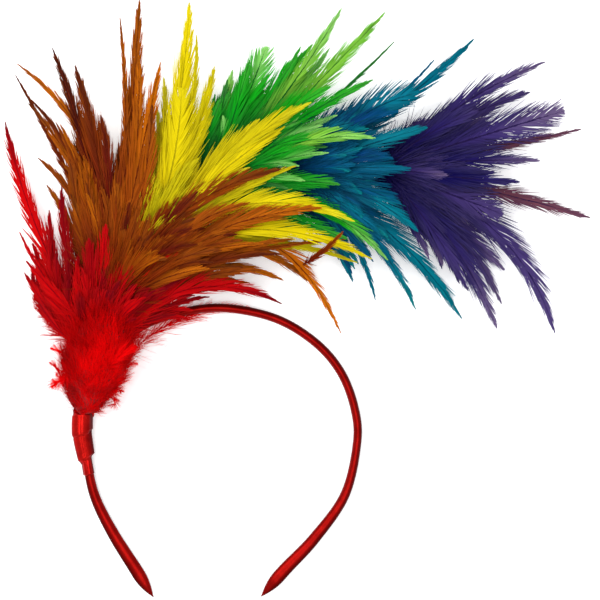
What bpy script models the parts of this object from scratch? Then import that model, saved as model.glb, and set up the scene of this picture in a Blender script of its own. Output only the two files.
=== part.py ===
"""Feather headband: a satin-covered hair band with a plume of dyed feathers bound to its left leg.

It lies on its side, as on a table: the band's arch is in the XY plane with its tips towards -Y, and +Z is up.
The origin is on the surface that it lies on, under the middle of the whole thing's box.
Sizes in the tables are millimetres and degrees. The plume is six bunches of feathers, one colour each, whose
quills are bound end to end into one stem. Each bunch is a head of quills with feather blades fused to it.
"""

import math
from collections import namedtuple

import bmesh
import bpy
from mathutils import Matrix, Vector

MM = 0.001
GAP = 0.3

# Hair band: the middle line from the left tip over the arch to the right tip
BAND_ROUTE = (
    (-67.4, -136.6),
    (-75.0, -124.2),
    (-85.8, -106.8),
    (-94.1, -89.2),
    (-97.6, -71.5),
    (-98.7, -55.0),
    (-95.6, -38.9),
    (-87.0, -23.4),
    (-71.5, -11.5),
    (-50.4, -4.9),
    (-32.0, -3.9),
    (-10.4, -8.8),
    (7.2, -19.6),
    (18.9, -33.4),
    (25.2, -50.4),
    (26.1, -66.0),
    (20.6, -89.3),
    (6.9, -109.0),
    (-7.3, -124.1),
    (-17.9, -136.3),
)
BAND_STEP = 7.0
BAND_SIDES = 12
ARCH_ACROSS = 3.9
ARCH_DEPTH = 5.0
LEG_ACROSS = 6.1
LEG_DEPTH = 3.6
# The legs flatten over this stretch before the tip, and the tip comes to a point over the last one
FLARE_LENGTH = 85.0
POINT_LENGTH = 13.0
POINT_STATIONS = (0.0, 0.06, 0.25, 0.55)

# Ribbon binding: it covers this stretch of the left leg, as distances from the left tip
BINDING_START = 64.0
BINDING_LENGTH = 26.0
BINDING_SIDES = 16
BINDING_WALL = 1.0
# The plume's quills lie beside the band in the binding, which puts its middle to the left and up
BindingTurn = namedtuple("BindingTurn", "along across depth left")
BINDING_TURNS = (
    BindingTurn(0.00, 7.2, 7.7, 0.1),
    BindingTurn(0.04, 7.8, 8.2, 0.2),
    BindingTurn(0.26, 8.4, 8.6, 0.5),
    BindingTurn(0.50, 9.2, 9.0, 1.0),
    BindingTurn(0.54, 10.4, 9.5, 1.5),
    BindingTurn(0.78, 10.6, 9.7, 1.5),
    BindingTurn(0.97, 10.6, 9.8, 1.4),
    BindingTurn(1.00, 9.8, 9.3, 1.2),
)
# The band is raised by the ribbon under it, and comes down to the table over this distance
BAND_LIFT = BINDING_WALL + GAP
LIFT_SPAN = 45.0
# Holes and grooves for the band are cut along it in steps, with clearance GAP. The groove under the down
# runs for this many steps from the binding
HOLE_STEP = 5.0
DOWN_HOLE_COUNT = 18

# Stem: the ends of the bound quills of each bunch, from the binding outwards
STEM_ROUTE = (
    (-98.3, -48.8, 5.5),
    (-94.0, -34.0, 13.5),
    (-90.1, -21.1, 17.0),
    (-85.8, -1.0, 18.5),
    (-78.8, 10.8, 18.0),
    (-63.6, 27.8, 18.0),
    (-35.0, 51.6, 17.0),
    (6.7, 57.5, 16.0),
    (45.0, 59.4, 15.0),
)

# Head of a bunch, of down or of bare quills: its sections, how many sides it has, how far from the stem's
# middle its blades may start, and how deep its five lobes are as a share of its radius
Head = namedtuple("Head", "sections sides root_spread lobe_depth")
HeadSection = namedtuple("HeadSection", "along across depth")
DOWN_LOBES = 5
PUFF_SECTIONS = (
    HeadSection(0.00, 4.6, 4.2),
    HeadSection(0.14, 8.6, 7.6),
    HeadSection(0.32, 13.6, 12.0),
    HeadSection(0.52, 16.6, 14.6),
    HeadSection(0.74, 17.4, 16.0),
    HeadSection(0.90, 16.6, 15.2),
    HeadSection(1.00, 13.0, 12.0),
)
RED_SECTIONS = (
    HeadSection(0.00, 13.0, 12.0),
    HeadSection(0.12, 16.4, 14.4),
    HeadSection(0.40, 15.6, 13.2),
    HeadSection(0.70, 11.6, 9.6),
    HeadSection(0.90, 7.4, 6.4),
    HeadSection(1.00, 4.4, 4.0),
)
QUILL_SECTIONS = (
    HeadSection(0.00, 3.4, 3.3),
    HeadSection(0.45, 5.0, 4.7),
    HeadSection(0.82, 5.8, 5.3),
    HeadSection(1.00, 4.3, 4.0),
)
PUFF_HEAD = Head(PUFF_SECTIONS, 14, 9.0, 0.07)
RED_HEAD = Head(RED_SECTIONS, 14, 9.0, 0.07)
QUILL_HEAD = Head(QUILL_SECTIONS, 10, 3.5, 0.0)

# Feather blade: share of its length, and of its full width there
BLADE_STATIONS = (
    (0.00, 0.30),
    (0.12, 0.58),
    (0.30, 0.92),
    (0.50, 1.00),
    (0.70, 0.84),
    (0.87, 0.48),
    (1.00, 0.05),
)
BLADE_THICKNESS = 2.3
# A blade's root is sunk this far behind its bunch's front, each a little further than the one before it,
# and is at most this far above or below the stem. One that turns this far off the stem starts at its side
ROOT_SINK = 4.0
ROOT_TURN_DEG = 42
ROOT_STAGGER = 0.11
ROOT_RISE = 2.6

# One blade: the direction and distance of its tip from its root, how far its middle bows to the left,
# the heights of its middle and tip, and its width
Blade = namedtuple("Blade", "bearing reach bow mid_z tip_z width")
# One bunch: the middle of its fan of blades, the stem's bearing there, and the stem's stretch that it fills
Bunch = namedtuple("Bunch", "name colour fan bearing stretch head blades")

RED = (0.62, 0.005, 0.008)
ORANGE = (0.42, 0.10, 0.012)
YELLOW = (0.78, 0.60, 0.01)
GREEN = (0.02, 0.36, 0.05)
TEAL = (0.0, 0.17, 0.30)
PURPLE = (0.06, 0.035, 0.24)
SATIN_RED = (0.50, 0.004, 0.006)

BUNCHES = (
    Bunch(
        "marabou_puff", RED, (-93.7, -28.8, 14), 75, (0, 2), PUFF_HEAD,
        (
            Blade(135, 17, -2, 18, 17, 12),
            Blade(-177, 11, 2, 10, 8, 12),
            Blade(-132, 13, 4, 16, 16, 11),
            Blade(42, 21, 2, 30, 28, 11),
            Blade(13, 11, 1, 12, 12, 14),
            Blade(-53, 8, -2, 16, 18, 12),
            Blade(25, 63, 6, 5, 3, 5),
            Blade(-149, 18, 3, 26, 22, 11),
        ),
    ),
    Bunch(
        "red_feathers", RED, (-88.3, -8.1, 18), 72, (2, 3), RED_HEAD,
        (
            Blade(112, 97, 4, 12, 8, 11),
            Blade(100, 61, 3, 20, 24, 7),
            Blade(125, 48, 2, 18, 16, 4),
            Blade(131, 35, 0, 23, 25, 7),
            Blade(152, 26, 4, 9, 5, 11),
            Blade(82, 45, -1, 27, 31, 16),
            Blade(89, 38, -1, 27, 32, 16),
            Blade(63, 38, 2, 27, 31, 16),
            Blade(47, 52, 5, 27, 31, 5),
            Blade(11, 74, 19, 16, 12, 11),
            Blade(16, 66, 11, 10, 6, 11),
        ),
    ),
    Bunch(
        "orange_feathers", ORANGE, (-78.8, 10.8, 18), 58, (3, 4), QUILL_HEAD,
        (
            Blade(114, 106, -15, 19, 14, 7),
            Blade(116, 103, -2, 12, 8, 4),
            Blade(104, 105, -3, 22, 26, 11),
            Blade(99, 95, -3, 26, 30, 18),
            Blade(93, 72, -2, 27, 31, 18),
            Blade(101, 77, 3, 16, 15, 16),
            Blade(85, 127, -2, 24, 17, 14),
            Blade(88, 116, -4, 25, 28, 5),
            Blade(83, 100, -4, 29, 30, 12),
            Blade(78, 100, -1, 31, 23, 12),
            Blade(77, 80, -4, 30, 32, 12),
            Blade(36, 88, 10, 31, 34, 14),
            Blade(22, 95, 8, 30, 35, 14),
            Blade(13, 101, 4, 22, 20, 4),
            Blade(-11, 99, 29, 16, 8, 11),
            Blade(4, 71, 9, 18, 12, 11),
            Blade(49, 55, 2, 29, 33, 16),
            Blade(102, 52, -3, 7, 1, 18),
            Blade(31, 58, 5, 7, 1, 16),
        ),
    ),
    Bunch(
        "yellow_feathers", YELLOW, (-63.6, 27.8, 18), 45, (4, 5), QUILL_HEAD,
        (
            Blade(80, 108, -4, 24, 15, 16),
            Blade(76, 93, -6, 24, 25, 7),
            Blade(69, 83, -4, 28, 21, 14),
            Blade(84, 73, -4, 23, 15, 11),
            Blade(76, 68, -4, 29, 32, 19),
            Blade(53, 68, 2, 30, 32, 19),
            Blade(41, 94, 6, 31, 36, 16),
            Blade(41, 79, 3, 31, 31, 16),
            Blade(8, 89, 14, 29, 35, 12),
            Blade(-2, 96, 11, 28, 27, 11),
            Blade(-3, 90, 7, 20, 16, 8),
            Blade(29, 73, 3, 29, 33, 16),
            Blade(68, 53, 0, 8, 2, 18),
            Blade(21, 55, 3, 8, 2, 16),
        ),
    ),
    Bunch(
        "green_feathers", GREEN, (-35.0, 51.6, 17), 24, (5, 6), QUILL_HEAD,
        (
            Blade(67, 64, -1, 24, 24, 20),
            Blade(79, 51, 0, 18, 14, 11),
            Blade(71, 55, -1, 25, 29, 16),
            Blade(54, 77, 1, 22, 16, 14),
            Blade(53, 97, -3, 24, 22, 12),
            Blade(45, 110, -2, 26, 15, 14),
            Blade(38, 103, -4, 29, 25, 3),
            Blade(33, 85, 3, 29, 30, 12),
            Blade(39, 68, 3, 28, 32, 18),
            Blade(17, 75, 8, 30, 34, 11),
            Blade(3, 56, 3, 27, 30, 16),
            Blade(-20, 82, 11, 25, 22, 12),
            Blade(-18, 62, 1, 24, 27, 14),
            Blade(42, 44, 1, 7, 1, 18),
            Blade(-10, 45, 3, 7, 1, 16),
        ),
    ),
    Bunch(
        "teal_feathers", TEAL, (6.7, 57.5, 16), 4, (6, 7), QUILL_HEAD,
        (
            Blade(37, 94, -3, 22, 18, 11),
            Blade(39, 73, -3, 23, 25, 3),
            Blade(33, 59, 5, 25, 27, 19),
            Blade(30, 47, 5, 27, 30, 16),
            Blade(18, 56, 1, 27, 31, 14),
            Blade(1, 46, 1, 27, 31, 16),
            Blade(-17, 44, 2, 25, 27, 18),
            Blade(-26, 55, 4, 26, 29, 14),
            Blade(-59, 62, 5, 16, 10, 5),
            Blade(-49, 76, 6, 17, 15, 8),
            Blade(-41, 94, 7, 19, 14, 14),
            Blade(-43, 54, 3, 21, 21, 14),
            Blade(19, 42, 2, 8, 2, 16),
            Blade(-24, 39, -1, 8, 2, 16),
        ),
    ),
    Bunch(
        "purple_feathers", PURPLE, (45.0, 59.4, 15), 0, (7, 8), QUILL_HEAD,
        (
            Blade(33, 82, 4, 20, 16, 12),
            Blade(17, 80, 0, 22, 22, 18),
            Blade(11, 87, -1, 18, 14, 7),
            Blade(2, 65, 1, 24, 26, 14),
            Blade(-7, 56, -1, 26, 30, 14),
            Blade(-13, 93, 1, 16, 10, 11),
            Blade(-43, 103, 14, 16, 8, 18),
            Blade(-55, 83, 5, 20, 18, 16),
            Blade(-48, 77, 6, 12, 6, 12),
            Blade(27, 72, 3, 12, 8, 16),
            Blade(-21, 54, 0, 21, 20, 20),
            Blade(29, 44, 2, 25, 28, 14),
            Blade(-56, 62, 2, 24, 25, 12),
            Blade(14, 52, 2, 7, 1, 18),
            Blade(-30, 54, 3, 7, 1, 16),
        ),
    ),
)

UP = Vector((0, 0, 1))


def clear_scene():
    for obj in list(bpy.data.objects):
        bpy.data.objects.remove(obj)


def smoothstep(share):
    share = min(max(share, 0.0), 1.0)
    return share * share * (3 - 2 * share)


def route_point(route, place):
    """A point of the smooth curve through the route. Place 2.5 is halfway from its third point to its fourth."""
    last = len(route) - 1
    index = min(int(place), last - 1)
    part = place - index
    p1, p2 = Vector(route[index]), Vector(route[index + 1])
    p0 = Vector(route[index - 1]) if index > 0 else 2 * p1 - p2
    p3 = Vector(route[index + 2]) if index + 2 <= last else 2 * p2 - p1
    return 0.5 * (
        2 * p1
        + (p2 - p0) * part
        + (2 * p0 - 5 * p1 + 4 * p2 - p3) * part**2
        + (3 * p1 - p0 - 3 * p2 + p3) * part**3
    )


def left_of(direction):
    """The level unit vector to the left of a direction, seen from above."""
    return Vector((-direction.y, direction.x, 0)).normalized()


def loft(name, rings):
    """A closed mesh through rings of points, each listed counterclockwise seen from the far end."""
    mesh = bpy.data.meshes.new(name)
    shape = bmesh.new()
    made = [[shape.verts.new(Vector(p) * MM) for p in ring] for ring in rings]
    for near, far in zip(made, made[1:]):
        for i in range(len(near)):
            j = (i + 1) % len(near)
            shape.faces.new((near[i], near[j], far[j], far[i]))
    shape.faces.new(reversed(made[0]))
    shape.faces.new(made[-1])
    bmesh.ops.recalc_face_normals(shape, faces=shape.faces)
    shape.to_mesh(mesh)
    shape.free()
    obj = bpy.data.objects.new(name, mesh)
    bpy.context.scene.collection.objects.link(obj)
    return obj


def combined(target, others, operation, solver="EXACT"):
    """Joins the other solids to the target, or cuts them out of it, and removes them."""
    tools = bpy.data.collections.new(target.name + "_tools")
    bpy.context.scene.collection.children.link(tools)
    for other in others:
        tools.objects.link(other)
    boolean = target.modifiers.new(operation.lower(), "BOOLEAN")
    boolean.operation = operation
    boolean.operand_type = "COLLECTION"
    boolean.collection = tools
    boolean.solver = solver
    bpy.context.view_layer.update()
    graph = bpy.context.evaluated_depsgraph_get()
    result = bpy.data.meshes.new_from_object(target.evaluated_get(graph))
    target.modifiers.clear()
    target.data = result
    for other in others:
        bpy.data.objects.remove(other)
    bpy.data.collections.remove(tools)


def without_air_pockets(mesh):
    """Keeps the outer skin of a solid. Small pockets shut in between its feathers are filled by this."""
    shape = bmesh.new()
    shape.from_mesh(mesh)
    unseen = set(shape.verts)
    skins = []
    while unseen:
        skin = {unseen.pop()}
        edge = list(skin)
        while edge:
            linked = {link.other_vert(vertex) for vertex in edge for link in vertex.link_edges}
            edge = list(linked & unseen)
            skin.update(edge)
            unseen.difference_update(edge)
        skins.append(skin)
    skins.sort(key=len)
    inner = [vertex for skin in skins[:-1] for vertex in skin]
    bmesh.ops.delete(shape, geom=inner, context="VERTS")
    shape.to_mesh(mesh)
    shape.free()


def finish(obj, colour, roughness, sharp_deg):
    material = bpy.data.materials.new(obj.name)
    material.use_nodes = True
    shader = material.node_tree.nodes["Principled BSDF"]
    shader.inputs["Base Color"].default_value = (*colour, 1)
    shader.inputs["Roughness"].default_value = roughness
    shader.inputs["Metallic"].default_value = 0.0
    obj.data.materials.clear()
    obj.data.materials.append(material)
    obj.data.shade_smooth()
    obj.data.set_sharp_from_angle(angle=math.radians(sharp_deg))


def measured_route(route, step):
    """The route's fine points, how far along it each is, and even stations about a step apart."""
    fine = 40
    points = [route_point(route, k / fine) for k in range((len(route) - 1) * fine + 1)]
    distances = [0.0]
    for a, b in zip(points, points[1:]):
        distances.append(distances[-1] + (b - a).length)
    length = distances[-1]
    count = max(2, round(length / step))
    stations = [length * k / count for k in range(count + 1)]
    return points, distances, stations


class BandLine:
    """The band's middle line in plan, measured from the left tip."""

    def __init__(self):
        self.points, self.distances, self.stations = measured_route(BAND_ROUTE, BAND_STEP)
        self.length = self.distances[-1]

    def at(self, distance):
        distance = min(max(distance, 0.0), self.length)
        for k in range(1, len(self.distances)):
            if distance <= self.distances[k]:
                break
        low, high = self.distances[k - 1], self.distances[k]
        along = (self.points[k] - self.points[k - 1]).normalized()
        point = self.points[k - 1].lerp(self.points[k], (distance - low) / (high - low))
        return Vector((point.x, point.y, 0)), Vector((along.x, along.y, 0))

    def lift(self, distance):
        """How far the band's underside is above the table."""
        start, end = BINDING_START, BINDING_START + BINDING_LENGTH
        away = max(start - distance, distance - end, 0.0)
        return BAND_LIFT * (1 - smoothstep(away / LIFT_SPAN))

    def size(self, distance):
        """The band's width across the arch and its depth, with the pointed tips."""
        from_tip = min(distance, self.length - distance)
        flare = smoothstep(1 - from_tip / FLARE_LENGTH)
        across = ARCH_ACROSS + (LEG_ACROSS - ARCH_ACROSS) * flare
        depth = ARCH_DEPTH + (LEG_DEPTH - ARCH_DEPTH) * flare
        if from_tip < POINT_LENGTH:
            point = max(from_tip / POINT_LENGTH, POINT_STATIONS[1] / 2)
            across *= math.sin(point * math.pi / 2) ** 0.9
            depth *= math.sin(point * math.pi / 2) ** 0.5
        return across, depth


def oval(centre, along, across, depth, sides, floor=0.0):
    """A ring of points around a level direction, with a flat side below. Nothing is lower than floor."""
    left = left_of(along)
    ring = []
    for k in range(sides):
        angle = 2 * math.pi * (k + 0.5) / sides
        point = centre + left * (math.sin(angle) * across / 2) + UP * (math.cos(angle) * depth / 2)
        point.z = max(point.z, floor)
        ring.append(point)
    return ring


def band_rings(line, stations, clearance=0.0, floor=0.0):
    """Rings of the band, or of a cutter round it with a clearance. A floor below 0 opens it downwards."""
    flat = math.cos(math.pi / BAND_SIDES)
    rings = []
    for distance in stations:
        point, along = line.at(distance)
        across, depth = line.size(distance)
        centre = point + UP * (line.lift(distance) + depth / 2)
        wide = across / flat + 2 * clearance
        deep = depth / flat + 2 * clearance
        ring = oval(centre, along, wide, deep, BAND_SIDES, floor)
        if floor < 0:
            for vertex in ring:
                if vertex.z < centre.z - depth / 4:
                    vertex.z = floor
        rings.append(ring)
    return rings


def make_headband(line):
    tip = [POINT_LENGTH * share for share in POINT_STATIONS]
    middle = [d for d in line.stations if POINT_LENGTH <= d <= line.length - POINT_LENGTH]
    stations = tip + middle + [line.length - d for d in reversed(tip)]
    band = loft("headband", band_rings(line, stations))
    finish(band, SATIN_RED, 0.35, 50)


def make_binding(line):
    """The satin ribbon wound round the band and the quills, in two turns with a step between them."""
    flat = math.cos(math.pi / BINDING_SIDES)
    rings = []
    for turn in BINDING_TURNS:
        point, along = line.at(BINDING_START + BINDING_LENGTH * turn.along)
        centre = point + left_of(along) * turn.left + UP * (turn.depth / 2)
        rings.append(oval(centre, along, turn.across / flat, turn.depth / flat, BINDING_SIDES))
    binding = loft("ribbon_binding", rings)
    start = BINDING_START - 0.6 * HOLE_STEP
    count = math.ceil(BINDING_LENGTH / HOLE_STEP) + 2
    stations = [start + HOLE_STEP * k for k in range(count)]
    combined(binding, [loft("band_hole", band_rings(line, stations, GAP))], "DIFFERENCE")
    finish(binding, SATIN_RED, 0.3, 40)


def head_rings(bunch):
    """Rings of a bunch's head along its stretch of the stem, half a gap short of each end."""
    start, end = bunch.stretch
    rings = []
    for section in bunch.head.sections:
        place = start + (end - start) * section.along
        point = route_point(STEM_ROUTE, place)
        ahead = route_point(STEM_ROUTE, place + 0.02) if place < len(STEM_ROUTE) - 1 else point
        behind = route_point(STEM_ROUTE, place - 0.02) if place > 0 else point
        along = (ahead - behind).normalized()
        if section.along == 0:
            point = point + along * GAP / 2
        if section.along == 1:
            point = point - along * GAP / 2
        left = left_of(along)
        above = along.cross(left)
        ring = []
        for k in range(bunch.head.sides):
            angle = 2 * math.pi * (k + 0.5) / bunch.head.sides
            lobes = 0.0
            if 0 < section.along < 1:
                lobes = bunch.head.lobe_depth * math.sin(DOWN_LOBES * angle + 7 * section.along)
            vertex = (
                point
                + left * (math.sin(angle) * section.across * (1 + lobes))
                + above * (math.cos(angle) * section.depth * (1 + lobes))
            )
            vertex.z = max(vertex.z, 0.0)
            ring.append(vertex)
        rings.append(ring)
    return rings


def blade_rings(bunch, blade, number):
    """Rings of one feather: a thin four-sided blade, ridged along its middle, on a bowed line."""
    heading = math.radians(bunch.bearing)
    stem = Vector((math.cos(heading), math.sin(heading), 0))
    fan = Vector(bunch.fan)
    rise = min(max((blade.mid_z - fan.z) * 0.4, -ROOT_RISE), ROOT_RISE)
    sink = ROOT_SINK + ROOT_STAGGER * number
    turn = (blade.bearing - bunch.bearing + 180) % 360 - 180
    side = bunch.head.root_spread * min(max(turn / ROOT_TURN_DEG, -1), 1)
    root = fan - stem * sink + left_of(stem) * side + UP * rise
    bearing = math.radians(blade.bearing)
    away = Vector((math.cos(bearing), math.sin(bearing), 0))
    tip = Vector((root.x, root.y, 0)) + away * blade.reach + UP * blade.tip_z
    middle = (root + tip) / 2 + left_of(away) * blade.bow
    middle.z = blade.mid_z
    pull = 2 * middle - (root + tip) / 2
    rings = []
    for along, share in BLADE_STATIONS:
        rest = 1 - along
        point = root * rest**2 + pull * (2 * along * rest) + tip * along**2
        slope = ((pull - root) * rest + (tip - pull) * along).normalized()
        left = left_of(slope)
        above = slope.cross(left)
        half_width = left * (blade.width / 2 * share)
        half_thickness = above * (BLADE_THICKNESS / 2 * (0.35 + 0.65 * share))
        ring = [point + half_width, point - half_thickness, point - half_width, point + half_thickness]
        for vertex in ring:
            vertex.z = max(vertex.z, 0.0)
        rings.append(ring)
    return rings


def make_bunch(bunch, line):
    """A head of quills or down with its feathers fused to it. A downy head sits over the band."""
    head = loft(bunch.name, head_rings(bunch))
    blades = [
        loft(f"{bunch.name}_blade_{number}", blade_rings(bunch, blade, number))
        for number, blade in enumerate(bunch.blades)
    ]
    # Where three blades cross, EXACT leaves open edges
    combined(head, blades, "UNION", "MANIFOLD")
    without_air_pockets(head.data)
    if bunch.head.lobe_depth:
        start = BINDING_START + BINDING_LENGTH - 0.6 * HOLE_STEP
        stations = [start + HOLE_STEP * k for k in range(DOWN_HOLE_COUNT)]
        cutter = loft("band_groove", band_rings(line, stations, GAP, floor=-BAND_LIFT))
        combined(head, [cutter], "DIFFERENCE")
    finish(head, bunch.colour, 0.55, 35)


def stand_at_origin():
    """Moves everything so that it rests on the surface with the middle of its plan at the origin."""
    meshes = [obj.data for obj in bpy.data.objects if obj.type == "MESH"]
    corners = [vertex.co for mesh in meshes for vertex in mesh.vertices]
    low = Vector([min(corner[axis] for corner in corners) for axis in range(3)])
    high = Vector([max(corner[axis] for corner in corners) for axis in range(3)])
    shift = Matrix.Translation((-(low.x + high.x) / 2, -(low.y + high.y) / 2, -low.z))
    for mesh in meshes:
        mesh.transform(shift)
        mesh.update()


def main():
    clear_scene()
    line = BandLine()
    make_headband(line)
    make_binding(line)
    for bunch in BUNCHES:
        make_bunch(bunch, line)
    stand_at_origin()


main()
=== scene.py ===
"""Looks of the feather headband: satin, ribbon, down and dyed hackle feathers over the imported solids."""

import math
import random
from collections import namedtuple

import bpy
import numpy as np
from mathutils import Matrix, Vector


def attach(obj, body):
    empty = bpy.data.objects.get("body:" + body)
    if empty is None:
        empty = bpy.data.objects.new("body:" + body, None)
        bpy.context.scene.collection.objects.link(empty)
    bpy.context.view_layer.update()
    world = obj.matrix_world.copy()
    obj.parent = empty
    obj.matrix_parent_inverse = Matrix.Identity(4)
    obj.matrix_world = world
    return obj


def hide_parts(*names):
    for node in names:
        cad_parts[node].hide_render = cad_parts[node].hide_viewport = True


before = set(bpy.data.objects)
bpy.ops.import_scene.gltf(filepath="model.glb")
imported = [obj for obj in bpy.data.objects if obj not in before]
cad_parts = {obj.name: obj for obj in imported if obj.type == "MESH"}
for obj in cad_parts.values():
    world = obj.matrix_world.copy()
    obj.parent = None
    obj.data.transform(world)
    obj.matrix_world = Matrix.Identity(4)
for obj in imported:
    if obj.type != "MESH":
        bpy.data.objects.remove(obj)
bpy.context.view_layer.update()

MM = 0.001


# Studio: a white table under broad soft light, seen from straight above as in the photograph.
# The solids' origin is under the middle of the whole thing, a little off the photograph's middle.
# Lengths here are in metres.

PHOTO_MIDDLE = Vector((1.57, 1.03, 0)) * MM
CAMERA_HEIGHT, CAMERA_NEAREST = 0.690, 0.01
CAMERA_LENS, CAMERA_SENSOR = 90, 36
TABLE_SIZE, TABLE_DROP = 14.0, 0.0002
TABLE_WHITE = (0.95, 0.95, 0.955, 1)
# The table glows a little: painted light that lifts the shadows on it.
TABLE_GLOW, TABLE_ROUGHNESS = 0.25, 0.6
ROOM_WHITE, ROOM_LIGHT = (1, 1, 1, 1), 0.74
SOFT_LIGHTS = (
    ("key_light", (-0.7, 0.6, 1.4), 1.1, 17),
    ("top_light", (0.15, -0.25, 1.6), 0.9, 10),
)


def plain_material(name, colour, roughness):
    """A material with one Principled shader, and that shader."""
    material = bpy.data.materials.new(name)
    material.use_nodes = True
    shader = material.node_tree.nodes["Principled BSDF"]
    shader.inputs["Base Color"].default_value = colour
    shader.inputs["Roughness"].default_value = roughness
    return material, shader


def new_object(name, mesh):
    obj = bpy.data.objects.new(name, mesh)
    bpy.context.scene.collection.objects.link(obj)
    return obj


half = TABLE_SIZE / 2
table_mesh = bpy.data.meshes.new("table_top")
table_corners = [(x, y, -TABLE_DROP) for x, y in ((-half, -half), (half, -half), (half, half), (-half, half))]
table_mesh.from_pydata(table_corners, [], [(0, 1, 2, 3)])
table_top = new_object("table_top", table_mesh)
white_table, table_shader = plain_material("white_table", TABLE_WHITE, TABLE_ROUGHNESS)
table_shader.inputs["Emission Color"].default_value = TABLE_WHITE
table_shader.inputs["Emission Strength"].default_value = TABLE_GLOW
table_mesh.materials.append(white_table)

camera = new_object("camera", bpy.data.cameras.new("camera"))
camera.data.lens = CAMERA_LENS
camera.data.sensor_width = CAMERA_SENSOR
camera.data.clip_start = CAMERA_NEAREST
camera.location = PHOTO_MIDDLE + Vector((0, 0, CAMERA_HEIGHT))
bpy.context.scene.camera = camera
bpy.context.scene.view_settings.view_transform = "Standard"

for name, place, size, watts in SOFT_LIGHTS:
    light = bpy.data.lights.new(name, "AREA")
    light.size = size
    light.energy = watts
    lamp = new_object(name, light)
    lamp.location = place
    lamp.rotation_euler = (-Vector(place)).to_track_quat("-Z", "Y").to_euler()
world = bpy.data.worlds.new("white_room")
bpy.context.scene.world = world
world.use_nodes = True
world.node_tree.nodes["Background"].inputs["Color"].default_value = ROOM_WHITE
world.node_tree.nodes["Background"].inputs["Strength"].default_value = ROOM_LIGHT


# Hair band: a springy core in a sleeve of red satin, sewn along its inner side and drawn in at the tips.
# The satin is woven with long floats, so it has a gloss along the band; a painted highlight runs along its
# upper side as well, with painted shade on its sides. It puckers a little round the bends.
# Lengths are in millimetres, but in materials, fibres and barbs they are in metres.

BAND_ROUTE = (
    (-67.4, -136.6), (-75.0, -124.2), (-85.8, -106.8), (-94.1, -89.2), (-97.6, -71.5), (-98.7, -55.0),
    (-95.6, -38.9), (-87.0, -23.4), (-71.5, -11.5), (-50.4, -4.9), (-32.0, -3.9), (-10.4, -8.8),
    (7.2, -19.6), (18.9, -33.4), (25.2, -50.4), (26.1, -66.0), (20.6, -89.3), (6.9, -109.0),
    (-7.3, -124.1), (-17.9, -136.3),
)
ROUTE_STEPS = 40
ARCH_ACROSS, ARCH_DEPTH = 3.9, 5.0
LEG_ACROSS, LEG_DEPTH = 6.1, 3.6
FLARE_LENGTH = 85.0
POINT_LENGTH, POINT_END = 13.0, 0.02
POINT_ACROSS_POWER, POINT_DEPTH_POWER = 0.9, 0.5
BINDING_START, BINDING_LENGTH = 64.0, 26.0
BAND_LIFT, LIFT_SPAN = 1.3, 45.0
BAND_STATIONS, BAND_AROUND = 420, 32
PUCKER_HEIGHT, PUCKER_RATE, PUCKER_DRIFT = 0.05, 1.9, 0.31
WEAVE_MAP = "weave"
Satin = namedtuple("Satin", "lit shade thread crease shine_turn bump roughness")
# Its lit colour is a painted highlight along the top of the band, and its shade colour is painted shade on
# the sides.
BAND_SATIN = Satin(
    lit=(0.245, 0.004, 0.003), shade=(0.050, 0.0, 0.0), thread=0.0003, crease=0.006, shine_turn=-0.06,
    bump=0.2, roughness=0.33)
WEAVE_HEIGHT = 0.0006
GRAIN_DETAIL, GRAIN_SHARE, CREASE_DETAIL = 2.0, 0.25, 3.0
# In the creases the lit share of the satin drops to CREASE_SHADE: painted shade.
CREASE_RANGE, CREASE_SHADE = (0.30, 0.60), 0.6
PAINTED_SHINE_RANGE = (0.15, 0.97)
SATIN_METALLIC, SATIN_SPECULAR, SATIN_TINT = 0.65, 0.2, (0.60, 0.04, 0.03, 1)


def smoothstep(share):
    share = min(max(share, 0.0), 1.0)
    return share * share * (3 - 2 * share)


def route_point(route, place):
    """A point of the smooth curve through the route. Place 2.5 is halfway from its third to its fourth."""
    last = len(route) - 1
    index = min(int(place), last - 1)
    part = place - index
    p1, p2 = Vector(route[index]), Vector(route[index + 1])
    p0 = Vector(route[index - 1]) if index > 0 else 2 * p1 - p2
    p3 = Vector(route[index + 2]) if index + 2 <= last else 2 * p2 - p1
    return 0.5 * (
        2 * p1
        + (p2 - p0) * part
        + (2 * p0 - 5 * p1 + 4 * p2 - p3) * part**2
        + (3 * p1 - p0 - 3 * p2 + p3) * part**3
    )


class BandLine:
    """The band's middle line in plan, in millimetres from the left tip."""

    def __init__(self):
        places = [k / ROUTE_STEPS for k in range((len(BAND_ROUTE) - 1) * ROUTE_STEPS + 1)]
        self.points = [route_point(BAND_ROUTE, place) for place in places]
        steps = [(b - a).length for a, b in zip(self.points, self.points[1:])]
        self.distances = [0.0] + list(np.cumsum(steps))
        self.length = self.distances[-1]

    def at(self, distance):
        distance = min(max(distance, 0.0), self.length)
        k = max(1, int(np.searchsorted(self.distances, distance)))
        low, high = self.distances[k - 1], self.distances[k]
        along = (self.points[k] - self.points[k - 1]).normalized()
        point = self.points[k - 1].lerp(self.points[k], (distance - low) / (high - low))
        return Vector((point.x, point.y, 0)), Vector((along.x, along.y, 0))

    def lift(self, distance):
        away = max(BINDING_START - distance, distance - BINDING_START - BINDING_LENGTH, 0.0)
        return BAND_LIFT * (1 - smoothstep(away / LIFT_SPAN))

    def size(self, distance):
        from_tip = min(distance, self.length - distance)
        flare = smoothstep(1 - from_tip / FLARE_LENGTH)
        across = ARCH_ACROSS + (LEG_ACROSS - ARCH_ACROSS) * flare
        depth = ARCH_DEPTH + (LEG_DEPTH - ARCH_DEPTH) * flare
        if from_tip < POINT_LENGTH:
            point = math.sin(max(from_tip / POINT_LENGTH, POINT_END) * math.pi / 2)
            across *= point**POINT_ACROSS_POWER
            depth *= point**POINT_DEPTH_POWER
        return across, depth


def left_of(direction):
    """The level unit vector to the left of a direction, seen from above."""
    return Vector((-direction.y, direction.x, 0)).normalized()


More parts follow.
